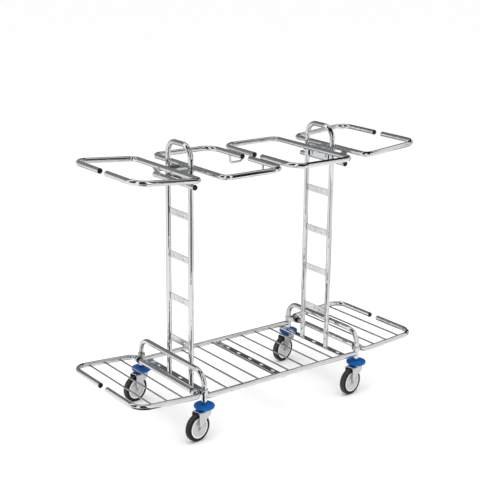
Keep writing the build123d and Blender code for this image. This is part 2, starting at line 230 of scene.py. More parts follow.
def shell(rings, loop=False):
    """Corners and faces of a grid of closed rings: a quad between neighbours, and a fan to the middle of the
    first and the last ring, or quads back to the first ring where the rings run in a loop."""
    count, sides = rings.shape[:2]
    index = np.arange(count * sides).reshape(count, sides)
    here = index if loop else index[:-1]
    there = np.roll(index, -1, 0) if loop else index[1:]
    quads = np.stack([here, np.roll(here, -1, 1), np.roll(there, -1, 1), there], -1).reshape(-1, 4)
    points = rings.reshape(-1, 3)
    if loop:
        return points, [quads]
    points = np.vstack([points, rings[0].mean(0), rings[-1].mean(0)])
    foot = np.stack([np.roll(index[0], -1), index[0], np.full(sides, count * sides)], -1)
    top = np.stack([index[-1], np.roll(index[-1], -1), np.full(sides, count * sides + 1)], -1)
    return points, [quads, foot, top]


def sheet_grid(grid):
    """Corners and faces of an open grid of points."""
    count, wide = grid.shape[:2]
    index = np.arange(count * wide).reshape(count, wide)
    quads = np.stack([index[:-1, :-1], index[:-1, 1:], index[1:, 1:], index[1:, :-1]], -1)
    return grid.reshape(-1, 3), [quads.reshape(-1, 4)]


def hex_head(across_flats, height, origin, axis, sides=72):
    """Hexagon head: its radius is half the flats over the cosine of the angle from the nearest flat, and a
    cone of thirty degrees cuts the corners down from a circle just inside the flats."""
    axis, first, second = axes_across(axis)
    angle = circle(sides)
    flat = across_flats / 2
    wall = flat / np.cos((angle + pi / 6) % (pi / 3) - pi / 6)
    face = np.full(sides, HEX_FACE * flat)
    drop = (wall - face) * tan(radians(30))
    radii = np.stack([wall, wall, face, 0.5 * face])
    rises = np.stack([0 * wall, height - drop, np.full(sides, height), np.full(sides, height)])
    around = np.cos(angle)[:, None] * first + np.sin(angle)[:, None] * second
    return shell(np.asarray(origin, float) + rises[..., None] * axis + radii[..., None] * around)


def bead(spots, outward, radius=BEAD_R):
    """Weld bead along a line of points: rings across the line, lifted outwards, whose radius is the full one
    times the fourth root of sin(pi part of the way) and one plus an eighth of cos(2 pi length / ripple)."""
    spots = np.asarray(spots, float)
    ways = np.gradient(spots, axis=0)
    ways = ways / np.linalg.norm(ways, axis=1, keepdims=True)
    side = np.cross(ways, outward)
    side = side / np.linalg.norm(side, axis=1, keepdims=True)
    lift = np.cross(side, ways)
    gone = np.append(0.0, np.cumsum(np.linalg.norm(np.diff(spots, axis=0), axis=1)))
    part = 0.01 + 0.98 * gone / gone[-1]
    swell = radius * np.sin(pi * part) ** 0.25 * (1 + 0.125 * np.cos(2 * pi * gone / RIPPLE))
    angle = circle(8)[None, :, None]
    around = np.cos(angle) * lift[:, None] + np.sin(angle) * side[:, None]
    return shell(spots[:, None] + swell[:, None, None] * around)


def seam(start, end, outward):
    """Straight weld bead with five points to each ripple."""
    start, end = np.asarray(start, float), np.asarray(end, float)
    count = max(8, int(5 * np.linalg.norm(end - start) / RIPPLE))
    return bead(start + (end - start) * np.linspace(0, 1, count)[:, None], outward)


def collar_seam(centre, rod_r, along, across):
    """Weld round a rod that butts on a tube. At each angle the bead stands a little off the rod, and along
    the rod it drops to the tube's face: tube radius less the root of that radius squared less the sideways
    reach squared."""
    angle = np.linspace(0, 2 * pi, 44)[:, None]
    along, across = unit(along), unit(across)
    out = np.cos(angle) * across + np.sin(angle) * np.cross(along, across)
    stand = rod_r + BEAD_OFF_ROD * BEAD_R
    drop = TUBE_R - np.sqrt(TUBE_R ** 2 - (stand * np.cos(angle)) ** 2)
    return bead(np.asarray(centre, float) + stand * out + drop * along, out, COLLAR_BEAD * BEAD_R)


def pad(low, high, edge):
    """Small moulded block lying across X: rings of a rounded rectangle. At both faces they are drawn in by
    the edge times one less sin(turn), at a depth of the edge times one less cos(turn)."""
    low, high = np.asarray(low, float), np.asarray(high, float)
    centre, half = (low[1:] + high[1:]) / 2, (high[1:] - low[1:]) / 2
    turn = np.linspace(0, pi / 2, 5)
    inset = edge * (1 - np.sin(turn))
    depth = low[0] + edge * (1 - np.cos(turn))
    inset = np.concatenate([inset, inset[::-1]])
    depth = np.concatenate([depth, (low[0] + high[0] - depth)[::-1]])
    corner = 2.0 * edge
    angle = np.concatenate([np.linspace(0, pi / 2, 6) + quarter * pi / 2 for quarter in range(4)])
    pivot = np.repeat([[1, 1], [-1, 1], [-1, -1], [1, -1]], 6, axis=0) * (half - corner)
    bend = (corner - inset)[:, None, None]
    flat = centre + pivot + bend * np.stack([np.cos(angle), np.sin(angle)], -1)
    return shell(np.concatenate([np.broadcast_to(depth[:, None, None], (*flat.shape[:2], 1)), flat], -1))


def piece(name, shells, finish, body, slot, *nodes, crease=35, reach=None):
    """One object from several shells, smooth but for edges sharper than the crease. The reach of each corner
    from an axis is kept on the mesh where the finish follows it."""
    points, faces, start = [], [], 0
    for corners, patches in shells:
        points.append(corners)
        for patch in patches:
            faces += (patch + start).tolist()
        start += len(corners)
    mesh = bpy.data.meshes.new(name)
    mesh.from_pydata(np.vstack(points).tolist(), [], faces)
    mesh.polygons.foreach_set("use_smooth", np.ones(len(mesh.polygons), bool))
    mesh.set_sharp_from_angle(angle=radians(crease))
    mesh.materials.append(finish)
    if reach is not None:
        kept = mesh.attributes.new("reach", "FLOAT", "POINT")
        kept.data.foreach_set("value", np.asarray(reach, np.float32))
    made = bpy.data.objects.new(name, mesh)
    bpy.context.scene.collection.objects.link(made)
    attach(made, body)
    if nodes:
        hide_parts(*nodes)
    return made


def soften(made, width, angle):
    """A small rounded edge wherever faces meet at more than an angle in degrees."""
    edge = made.modifiers.new("edge", "BEVEL")
    edge.width = width
    edge.segments = 2
    edge.limit_method = "ANGLE"
    edge.angle_limit = radians(angle)


# Finishes

class Field:
    """A value over a surface. Arithmetic on it adds Math nodes, and node() adds any other node."""

    def __init__(self, tree, socket=None):
        self.tree = tree
        self.socket = socket

    def node(self, kind, settings, inputs, out=0):
        """Any node: its settings come first, then the values or links of its sockets."""
        made = self.tree.nodes.new("ShaderNode" + kind)
        for key, value in settings.items():
            setattr(made, key, value)
        for key, value in inputs.items():
            if isinstance(value, Field):
                self.tree.links.new(value.socket, made.inputs[key])
            else:
                made.inputs[key].default_value = value
        return Field(self.tree, made.outputs[out])

    def math(self, operation, *values):
        return self.node("Math", {"operation": operation}, dict(enumerate(values)))

    def step(self, low, high):
        """Nothing below the low value, one above the high value, and a smooth rise between them."""
        inputs = {"Value": self, "From Min": low, "From Max": high}
        return self.node("MapRange", {"interpolation_type": "SMOOTHSTEP"}, inputs, "Result")

    def __add__(self, other):
        return self.math("ADD", self, other)

    __radd__ = __add__

    def __sub__(self, other):
        return self.math("SUBTRACT", self, other)

    def __rsub__(self, other):
        return self.math("SUBTRACT", other, self)

    def __mul__(self, other):
        return self.math("MULTIPLY", self, other)

    __rmul__ = __mul__


class Finish:
    """A material with one principled shader, and the patterns that the finishes share."""

    def __init__(self, name, metallic=0.0, specular=0.5):
        self.material = bpy.data.materials.new(name)
        self.material.use_nodes = True
        self.tree = self.material.node_tree
        self.shader = self.tree.nodes["Principled BSDF"]
        self.shader.inputs["Metallic"].default_value = metallic
        self.shader.inputs["Specular IOR Level"].default_value = specular
        self.place = Field(self.tree).node("TexCoord", {}, {}, "Object")

    def noise(self, scale, detail=2.0, stretch=None):
        """Cloudy noise in the piece's own place, drawn out along an axis where it has a stretch."""
        place = self.place
        if stretch:
            place = place.node("Mapping", {}, {"Vector": place, "Scale": stretch}, "Vector")
        return place.node("TexNoise", {}, {"Vector": place, "Scale": scale, "Detail": detail}, "Fac")

    def reach(self):
        """Distance from the axle, as kept on the mesh."""
        return self.place.node("Attribute", {"attribute_name": "reach"}, {}, "Fac")

    def tint(self, factor, plain, other):
        """Mix of two colours, by the numbers of the Mix node's factor and colour sockets."""
        return factor.node("Mix", {"data_type": "RGBA"}, {0: factor, 6: plain, 7: other}, 2)

    def feed(self, socket, value):
        """Value or colour for a socket of the shader."""
        self.tree.links.new(value.socket, self.shader.inputs[socket])

    def bump(self, height, distance):
        """Fine relief, as high in metres as the distance says."""
        inputs = {"Height": height, "Distance": distance, "Strength": 1.0}
        self.feed("Normal", height.node("Bump", {}, inputs, "Normal"))


def chrome():
    """Bright plating: a faint waviness of the polished tube, finger smudges and a fine haze of dust."""
    finish = Finish("chrome_plate", metallic=1.0)
    smudge = finish.noise(26.0, 5.0).step(0.50, 0.74)
    haze = finish.noise(300.0)
    finish.feed("Base Color", finish.tint(smudge, (0.63, 0.635, 0.645, 1), (0.58, 0.585, 0.59, 1)))
    finish.feed("Roughness", 0.045 + 0.07 * smudge + 0.03 * haze)
    finish.bump(finish.noise(45.0, 1.0) + 0.05 * haze, 0.0004)
    return finish.material


def flat_chrome():
    """Plating on flat bar: the same plate over rolled steel, with fine lines along the bar."""
    finish = Finish("chrome_flat", metallic=1.0)
    smudge = finish.noise(24.0, 5.0).step(0.48, 0.74)
    rolled = finish.noise(420.0, stretch=(1.0, 0.06, 1.0))
    finish.feed("Base Color", finish.tint(smudge, (0.62, 0.625, 0.635, 1), (0.55, 0.555, 0.56, 1)))
    finish.feed("Roughness", 0.14 + 0.08 * smudge + 0.08 * rolled)
    finish.bump(finish.noise(30.0, 1.0) + 0.08 * rolled, 0.0005)
    return finish.material


def drawn_wire():
    """Plating on drawn wire: duller than on the polished tube, with fine lines along the wire. Its darker
    colour is painted shade.
    """
    finish = Finish("chrome_wire", metallic=1.0)
    smudge = finish.noise(30.0, 4.0).step(0.45, 0.72)
    drawn = finish.noise(700.0, stretch=(1.0, 0.05, 1.0))
    # The wire's colour is set much darker than the tube's plating: painted shade.
    finish.feed("Base Color", finish.tint(smudge, (0.33, 0.332, 0.34, 1), (0.27, 0.272, 0.28, 1)))
    finish.feed("Roughness", 0.16 + 0.08 * smudge + 0.08 * drawn)
    finish.bump(drawn, 0.0001)
    return finish.material


def weld_chrome():
    """Plating over weld beads: the same plate, with darker and duller patches where the weld burned."""
    finish = Finish("chrome_weld", metallic=1.0)
    burn = finish.noise(240.0, 4.0)
    dark = burn.step(0.35, 0.7)
    grain = finish.noise(1300.0)
    finish.feed("Base Color", finish.tint(dark, (0.56, 0.56, 0.57, 1), (0.24, 0.235, 0.23, 1)))
    finish.feed("Roughness", 0.14 + 0.22 * burn + 0.06 * grain)
    finish.bump(burn + 0.3 * grain, 0.0002)
    return finish.material


def zinc():
    """Passivated zinc on pressed steel: a satin grain with a soft mottle and duller patches."""
    finish = Finish("zinc_plate", metallic=1.0)
    mottle = finish.noise(90.0, 4.0)
    dull = finish.noise(38.0, 3.0).step(0.45, 0.75)
    grain = finish.noise(900.0)
    patches = 0.6 * dull + 0.4 * mottle
    finish.feed("Base Color", finish.tint(patches, (0.55, 0.55, 0.56, 1), (0.45, 0.45, 0.46, 1)))
    finish.feed("Roughness", 0.30 + 0.12 * dull + 0.06 * grain)
    finish.bump(mottle + 0.4 * grain, 0.0002)
    return finish.material


def bolt_steel():
    """Zinc on a forged bolt: darker patches from the forging, with a fine turned grain."""
    finish = Finish("bolt_steel", metallic=1.0)
    mottle = finish.noise(260.0, 4.0)
    dark = mottle.step(0.4, 0.7)
    grain = finish.noise(1500.0)
    finish.feed("Base Color", finish.tint(dark, (0.62, 0.63, 0.64, 1), (0.40, 0.40, 0.41, 1)))
    finish.feed("Roughness", 0.24 + 0.16 * mottle + 0.05 * grain)
    finish.bump(grain, 0.00008)
    return finish.material


def black_plastic():
    """Moulded polyethylene: near black with a fine spark-eroded grain and paler rubbed spots."""
    finish = Finish("black_plastic", specular=0.25)
    grain = finish.noise(1400.0)
    rub = finish.noise(160.0, 3.0).step(0.55, 0.8)
    finish.feed("Base Color", finish.tint(rub, (0.003, 0.003, 0.0035, 1), (0.012, 0.012, 0.0125, 1)))
    finish.feed("Roughness", 0.36 + 0.12 * grain + 0.14 * rub)
    finish.bump(grain, 0.0001)
    return finish.material


def blue_rubber():
    """Soft blue bumper plastic: a slight mottle, a fine moulded grain and paler scuffs."""
    finish = Finish("blue_bumper", specular=0.12)
    grain = finish.noise(1100.0)
    mottle = finish.noise(55.0, 3.0).step(0.35, 0.7)
    scuff = finish.noise(210.0, 5.0, (1.0, 1.0, 2.5)).step(0.60, 0.78)
    blue = finish.tint(mottle, (0.0003, 0.088, 0.335, 1), (0.0004, 0.106, 0.385, 1))
    finish.feed("Base Color", finish.tint(0.35 * scuff, blue, (0.03, 0.18, 0.46, 1)))
    finish.feed("Roughness", 0.42 + 0.10 * grain + 0.12 * scuff)
    finish.bump(grain, 0.00012)
    return finish.material


def grey_plastic():
    """Moulded nylon wheel centre: pale grey with a slight mottle, a whiter rim, fine grain and road dust."""
    finish = Finish("grey_plastic")
    grain = finish.noise(1300.0)
    mottle = finish.noise(70.0, 4.0).step(0.4, 0.7)
    dust = finish.noise(30.0, 5.0).step(0.5, 0.75)
    rim = finish.reach().step(0.0325, 0.0340)
    pale = finish.tint(mottle, (0.56, 0.56, 0.57, 1), (0.51, 0.51, 0.52, 1))
    pale = finish.tint(rim, pale, (0.88, 0.88, 0.88, 1))
    finish.feed("Base Color", finish.tint(0.30 * dust, pale, (0.42, 0.41, 0.40, 1)))
    finish.feed("Roughness", 0.40 + 0.12 * grain + 0.10 * dust)
    finish.bump(grain, 0.0001)
    return finish.material


def tyre_rubber():
    """Black tyre rubber: a matt bloom and fine pores, with the tread paler grey than the sidewalls, and
    dusty.
    """
    finish = Finish("tyre_rubber", specular=0.3)
    pores = finish.noise(1600.0, 3.0)
    bloom = finish.noise(48.0, 4.0).step(0.4, 0.72)
    dust = finish.noise(420.0, 4.0).step(0.55, 0.75)
    # From this reach out to the tread, the rubber is coloured paler grey than on the sidewalls.
    tread_band = finish.reach().step(0.0470, 0.0492)
    dark = finish.tint(bloom, (0.004, 0.004, 0.0042, 1), (0.008, 0.008, 0.0082, 1))
    tread = finish.tint(bloom, (0.030, 0.030, 0.031, 1), (0.045, 0.045, 0.046, 1))
    rubber = finish.tint(tread_band, dark, tread)
    finish.feed("Base Color", finish.tint(0.25 * dust * tread_band, rubber, (0.085, 0.083, 0.080, 1)))
    finish.feed("Roughness", 0.55 + 0.12 * pores + 0.08 * bloom)
    finish.bump(pores, 0.00025)
    return finish.material


CHROME = chrome()
FLAT_CHROME = flat_chrome()
WIRE = drawn_wire()
WELD = weld_chrome()
ZINC = zinc()
BOLT_STEEL = bolt_steel()
BLACK = black_plastic()
BLUE = blue_rubber()
GREY = grey_plastic()
TYRE = tyre_rubber()

# Places from the frame
JOINT = {joint["name"]: joint for joint in frame["joints"]}
CORNERS = ("front_left", "back_left", "front_right", "back_right")
SIDES = {"left": -1, "right": 1}
HANDS = (-1, 1)


def span(node):
    """Lowest and highest corner of a node as arrays."""
    low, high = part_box(node)
    return np.array(low), np.array(high)


def middle(node):
    """Middle of a node's box."""
    low, high = span(node)
    return (low + high) / 2


TUBE_R = float(np.diff(span("holder_stop_left"), axis=0)[0, 0] / 2)
WIRE_R = float(np.diff(span("deck_wires"), axis=0)[0, 2] / 2)


def deck_wire_places():
    """Places of the deck wires along X."""
    low, high = span("deck_wires")
    return np.linspace(low[0] + WIRE_R, high[0] - WIRE_R, DECK_WIRES)


def end_wire_places(name):
    """Places (x, z) of the wires of an end frame, which rises away from the middle of the trolley."""
    low, high = span(f"end_wires_{name}")
    across = np.linspace(low[0] + WIRE_R, high[0] - WIRE_R, END_WIRES)
    rise = np.linspace(low[2] + WIRE_R, high[2] - WIRE_R, END_WIRES)
    return list(zip(across, rise[::SIDES[name]]))


def link_rod_places():
    """Radius of the link rods, and the places of their legs along X and along Y."""
    low, high = span("link_rods")
    radius = float(span("middle_holder_left")[1][0] - TUBE_R - low[0])
    return radius, (low[0] + radius, high[0] - radius), (low[1] + radius, high[1] - radius)


# Tubes and wires

def plug_shell(end, inward):
    """End plug: a crowned head with a rounded edge, and its spigot in the tube."""
    spigot = BORE_R - BORE_PLAY
    crown = [(AXIS_GAP, -PLUG_HEAD), (TUBE_R, PLUG_CROWN - PLUG_HEAD), (TUBE_R, 0.0)]
    head = rounded(crown, [PLUG_EDGE])
    neck = [(TUBE_R - PLUG_CROWN, 0.0), (spigot, 0.0), (spigot, PLUG_IN)]
    return lathe(np.vstack([head, neck]), end, inward, sides=48)


def ring_route(node, hinge, side):
    """Corners of an open ring and its plane's normal: from the gap on its far side, towards -X or +X, round
    the back, along the hinge bar and round to the gap again."""
    low, high = span(node)
    far_x = low[0] + TUBE_R if side < 0 else high[0] - TUBE_R
    near, far = np.array([hinge[0], 0.0, hinge[2]]), np.array([far_x, 0.0, high[2] - TUBE_R])
    wide = np.array([0.0, high[1] - TUBE_R, 0.0])
    gap = np.array([0.0, PLUG_HEAD + RING_GAP / 2, 0.0])
    points = [far + gap, far + wide, near + wide, near - wide, far - wide, far - gap]
    return points, np.cross(unit(far - near), (0.0, 1.0, 0.0))


def plug_pair(first, last):
    """Plugs in the two ends of a tube that face each other or away from each other along Y."""
    return [plug_shell(first, (0, 1, 0)), plug_shell(last, (0, -1, 0))]


def rings():
    """The bag holders and end frames: one bent tube each, with a plug at both sides of its gap."""
    bends = [RING_OUTER_BEND, RING_INNER_BEND, RING_INNER_BEND, RING_OUTER_BEND]
    for name, side in SIDES.items():
        low, high = span(f"middle_holder_{name}")
        inner_x = low[0] + TUBE_R if side < 0 else high[0] - TUBE_R
        inner_bar = (inner_x, 0.0, middle(f"middle_holder_{name}")[2])
        holder_bar = JOINT[f"{name}_holder_fold"]["pos_m"]
        end_bar = JOINT[f"{name}_end_fold"]["pos_m"]
        kinds = (
            ("middle", "middle_holder", inner_bar, "frame", -side),
            ("outer", "outer_holder", holder_bar, f"holder_{name}", side),
            ("end", "end_frame", end_bar, f"end_{name}", side),
        )
        for kind, node, hinge, body, towards in kinds:
            points, across = ring_route(f"{node}_{name}", hinge, towards)
            bar = tube(points, bends, TUBE_R, across)
            piece(f"{node}_tube_{name}", [bar], CHROME, body, "chrome", f"{node}_{name}")
            plugs = plug_pair(points[0], points[-1])
            if kind == "outer":
                low, high = span(f"holder_stop_{name}")
                x, _, z = middle(f"holder_stop_{name}")
                ends = [(x, low[1], z), (x, high[1], z)]
                plugs += plug_pair(*ends)
                stop = tube(ends, [], TUBE_R, (1, 0, 0))
                piece(f"holder_stop_tube_{name}", [stop], CHROME, body, "chrome", f"holder_stop_{name}")
            piece(f"{kind}_end_plugs_{name}", plugs, BLACK, body, "black_plastic", f"{kind}_plugs_{name}")


def frame_tubes():
    """Rails, arches and uprights."""
    for side in ("front", "back"):
        low, high = span(f"side_rail_{side}")
        _, y, z = middle(f"side_rail_{side}")
        bar = tube([(low[0], y, z), (high[0], y, z)], [], TUBE_R, (0, 0, 1))
        piece(f"side_rail_tube_{side}", [bar], CHROME, "frame", "chrome", f"side_rail_{side}")
    for name, (node, bend) in product(SIDES, (("arch", ARCH_BEND), ("upright", HOOP_BEND))):
        low, high = span(f"{node}_{name}")
        x = middle(f"{node}_{name}")[0]
        front, back, top = low[1] + TUBE_R, high[1] - TUBE_R, high[2] - TUBE_R
        points = [(x, front, low[2]), (x, front, top), (x, back, top), (x, back, low[2])]
        bar = tube(points, [bend, bend], TUBE_R, (1, 0, 0))
        piece(f"{node}_tube_{name}", [bar], CHROME, "frame", "chrome", f"{node}_{name}")


def cross_wire(x, z, reach):
    """Straight wire across the trolley, run a little into the tubes that carry it."""
    half = reach + WIRE_IN
    return tube([(x, -half, z), (x, half, z)], [], WIRE_R, (0, 0, 1), sides=16)


def wires():
    """Deck wires, end frame wires and the two link rods."""
    z = middle("deck_wires")[2]
    reach = span("deck_wires")[1][1]
    bars = [cross_wire(x, z, reach) for x in deck_wire_places()]
    piece("deck_wire_rods", bars, WIRE, "frame", "chrome", "deck_wires")
    for name in SIDES:
        reach = span(f"end_wires_{name}")[1][1]
        bars = [cross_wire(x, z, reach) for x, z in end_wire_places(name)]
        piece(f"end_wire_rods_{name}", bars, WIRE, f"end_{name}", "chrome", f"end_wires_{name}")
    radius, (left, right), depths = link_rod_places()
    foot = span("link_rods")[0][2] + radius
    top = middle("middle_holder_left")[2]
    links = []
    for y in depths:
        points = [(left, y, top), (left, y, foot), (right, y, foot), (right, y, top)]
        links.append(tube(points, [LINK_BEND, LINK_BEND], radius, (0, 1, 0), sides=20))
    piece("link_rod_bars", links, CHROME, "frame", "chrome", "link_rods")


# Weld beads

def corner_offset(thick):
    """Place of a bead in the corner of a plate and a tube: half its radius off the plate's face, and along
    the plate the root of the tube's radius and half the bead's squared less that squared."""
    lift = BEAD_OFF_TUBE * BEAD_R
    off = thick / 2 + lift
    return off, float(np.sqrt((TUBE_R + lift) ** 2 - off ** 2))


def plate_seams(name):
    """Beads where the rungs and the hanger plate of an upright meet its posts, on both faces."""
    x = middle(f"upright_{name}")[0]
    post = span(f"upright_{name}")[1][1] - TUBE_R
    low, high = span(f"rungs_{name}")
    tops = np.linspace(high[2], low[2] + RUNG_H, RUNG_COUNT)
    runs = [(top - RUNG_H + RUNG_SEAM_IN, top - RUNG_SEAM_IN, high[0] - low[0]) for top in tops]
    low, high = span(f"hanger_plate_{name}")
    runs.append((low[2] + NOTCH_H + PLATE_SEAM_FOOT, high[2] - PLATE_SEAM_TOP, high[0] - low[0]))
    beads = []
    for foot, top, thick in runs:
        off, reach = corner_offset(thick)
        for face, hand in product((-off, off), HANDS):
            y = hand * (post - reach)
            beads.append(seam((x + face, y, foot), (x + face, y, top), (face, -hand * off, 0)))
    return beads


def arm_seams(name):
    """Beads in the four corners where each hanger arm crosses the plate. The arms are as thick as it is."""
    x = middle(f"upright_{name}")[0]
    plate_low, plate_high = span(f"hanger_plate_{name}")
    arm_low, arm_high = span(f"hanger_arms_{name}")
    half = (plate_high[0] - plate_low[0]) / 2
    off = half + BEAD_OFF_ARM * BEAD_R
    foot, top = arm_low[2] + ARM_SEAM_FOOT, plate_high[2] - ARM_SEAM_TOP
    beads = []
    for hand, face, edge in product(HANDS, (-off, off), (-off, off)):
        y = hand * (arm_high[1] - half) + edge
        beads.append(seam((x + face, y, foot), (x + face, y, top), (face, edge, 0)))
    return beads


def deck_seams():
    """Beads where the crossbars and the deck wires meet the rails."""
    _, rail_y, rail_z = middle("side_rail_back")
    lift = BEAD_OFF_TUBE * BEAD_R
    beads = []
    for node, hand in product(("crossbar_left", "crossbar_centre", "crossbar_right"), HANDS):
        low, high = span(node)
        z = high[2] + lift
        y = hand * (rail_y - float(np.sqrt((TUBE_R + lift) ** 2 - (rail_z - z) ** 2)))
        beads.append(seam((low[0] + BAR_SEAM_IN, y, z), (high[0] - BAR_SEAM_IN, y, z), (0, -hand, 1)))
    for x, hand in product(deck_wire_places(), HANDS):
        beads.append(collar_seam((x, hand * (rail_y - TUBE_R), rail_z), WIRE_R, (0, hand, 0), (0, 0, 1)))
    return beads


def leg_seams():
    """A bead round each leg on top of its corner bracket."""
    top = span("corner_brackets_left")[1][2]
    turn = np.linspace(0, 2 * pi, 130)[:, None]
    out = np.hstack([np.cos(turn), np.sin(turn), 0 * turn])
    ring = (TUBE_R + BEAD_OFF_ROD * BEAD_R) * out
    legs = [JOINT[f"{corner}_swivel"]["pos_m"] for corner in CORNERS]
    return [bead(np.array([x, y, top]) + ring, out) for x, y, _ in legs]


def link_seams():
    """A bead round each leg of the link rods, under the middle holders."""
    radius, places, depths = link_rod_places()
    foot = middle("middle_holder_left")[2] - TUBE_R
    return [collar_seam((x, y, foot), radius, (0, 0, 1), (1, 0, 0)) for x, y in product(places, depths)]


def strap_seams(name):
    """Beads where the straps of an outer holder meet its hinge bar and its stop tube, on both faces."""
    level = np.array([1, 0, 1])
    bar = np.array(JOINT[f"{name}_holder_fold"]["pos_m"]) * level
    stop = middle(f"holder_stop_{name}") * level
    outer_y = span(f"holder_straps_{name}")[1][1]
    way = unit(stop - bar)
    out = np.cross(way, (0, 1, 0))
    off, reach = corner_offset(STRAP_T)
    beads = []
    for hand, face, (start, run) in product(HANDS, HANDS, ((bar, way), (stop, -way))):
        first_y, last_y = hand * (outer_y - BAR_SEAM_IN), hand * (outer_y - STRAP_W + BAR_SEAM_IN)
        corner = start + run * reach + out * face * off
        beads.append(seam(corner + (0, first_y, 0), corner + (0, last_y, 0), out * face + run))
    return beads


def end_seams(name):
    """A bead round each end of the wires of an end frame."""
    face = span(f"end_frame_{name}")[1][1] - 2 * TUBE_R
    places = product(end_wire_places(name), HANDS)
    return [collar_seam((x, hand * face, z), WIRE_R, (0, hand, 0), (0, 0, 1)) for (x, z), hand in places]


def welds():
    """Weld beads where plates, bars, wires and rods meet the tubes, each on its own body."""
    beads = []
    for name in SIDES:
        beads += plate_seams(name) + arm_seams(name)
    beads += deck_seams() + leg_seams() + link_seams()
    piece("weld_beads_frame", beads, WELD, "frame", "chrome")
    for name in SIDES:
        piece(f"weld_beads_holder_{name}", strap_seams(name), WELD, f"holder_{name}", "chrome")
        piece(f"weld_beads_end_{name}", end_seams(name), WELD, f"end_{name}", "chrome")


# Black trim

def hinge_collars(name):
    """Two plastic collars on the hinge bar of an end frame, each beside its eye."""
    hinge = np.array(JOINT[f"{name}_end_fold"]["pos_m"])
    bend_y = span(f"end_frame_{name}")[1][1] - TUBE_R - RING_INNER_BEND
    start = bend_y - EYE_GAP - EYE_W - HINGE_COLLAR_IN
    bore, outer, length = TUBE_R + HINGE_COLLAR_PLAY, HINGE_COLLAR_D / 2, HINGE_COLLAR_L
    edge = rounded(
        [(bore, 0.0), (outer, 0.0), (outer, length), (bore + 0.0006, length), (bore, length - 0.0008)],
        [0.0008, 0.0016, 0.0003],
    )
    places = [(hinge + (0, hand * start, 0), (0, -hand, 0)) for hand in HANDS]
    return [lathe(edge, place, inward, sides=48, loop=True) for place, inward in places]


def plate_inserts(name):
    """Two plastic blocks in the notches of a hanger plate, beside the posts."""
    low, high = span(f"hanger_plate_{name}")
    post = span(f"upright_{name}")[1][1] - 2 * TUBE_R
    foot, top = low[2] + INSERT_PLAY, low[2] + NOTCH_H - INSERT_PLAY
    near, far = post - NOTCH_W + INSERT_PLAY, post - INSERT_PLAY
    left, right = low[0] - INSERT_PROUD, high[0] + INSERT_PROUD
    depths = ((near, far), (-far, -near))
    return [pad((left, front, foot), (right, back, top), INSERT_EDGE) for front, back in depths]


def black_trim():
    """Collars on the end frames' hinge bars, and inserts in the hanger plates."""
    for name in SIDES:
        piece(f"hinge_collars_{name}", hinge_collars(name), BLACK, f"end_{name}", "black_plastic")
        piece(f"plate_inserts_{name}", plate_inserts(name), BLACK, "frame", "black_plastic")


# Castors

def castor_axes(corner):
    """Swivel point on the floor, middle of the wheel, and the directions ahead and along the axle."""
    roll = JOINT[f"{corner}_roll"]
    swivel = np.array(JOINT[f"{corner}_swivel"]["pos_m"])
    along = unit(roll["axis"])
    return swivel * (1, 1, 0), np.array(roll["pos_m"]), np.cross(along, (0, 0, 1)), along


def stems_and_bumpers():
    """Swivel heads with their stems, and the bumper discs above them: outlines turned about the swivel."""
    low, high = span("castor_stems")
    bumper_low, bumper_high = span("bumpers")
    swivel = JOINT["front_right_swivel"]["pos_m"]
    foot = swivel[2] + SWIVEL_CLEAR
    pin = swivel[2] - FORK_T - SWIVEL_CLEAR
    under, over = bumper_low[2], bumper_high[2]
    lower = rounded(
        [(KING_AXIS_GAP, low[2]), (KING_HEAD_R, low[2]), (KING_HEAD_R, pin), (KING_PIN_R, pin),
         (KING_PIN_R, foot), (HEAD_R, foot), (HEAD_R, foot + HEAD_RIM), (HEAD_TOP_R, under),
         (NECK_LOW_R, under)],
        [0.001, 0.0006, 0.0002, 0.0002, 0.0008, 0.0012, 0.0006],
    )
    stem = BORE_R - BORE_PLAY
    head = np.vstack([lower, [(NECK_TOP_R, over), (stem, over), (stem, high[2])]])

    reach, thick = bumper_high[0] - swivel[0], over - under
    dish = thick - BUMPER_DISH
    disc = rounded(
        [(BUMPER_BORE_R, 0.0), (reach - BUMPER_FOOT_IN, 0.0), (reach, BUMPER_BELLY),
         (reach - BUMPER_TOP_IN, thick), (BUMPER_LIP_R, thick), (BUMPER_DISH_R, dish), (BUMPER_BORE_R, dish)],
        [0.0034, 0.004, 0.0036, 0.002, 0.0005],
    )
    spots = [(*JOINT[f"{corner}_swivel"]["pos_m"][:2], 0.0) for corner in CORNERS]
    heads = [lathe(head, spot, (0, 0, 1), sides=56) for spot in spots]
    discs = [lathe(disc + [0, under], spot, (0, 0, 1), sides=72) for spot in spots]
    piece("castor_heads", heads, ZINC, "frame", "zinc", "castor_stems")
    piece("bumper_discs", discs, BLUE, "frame", "blue_rubber", "bumpers")


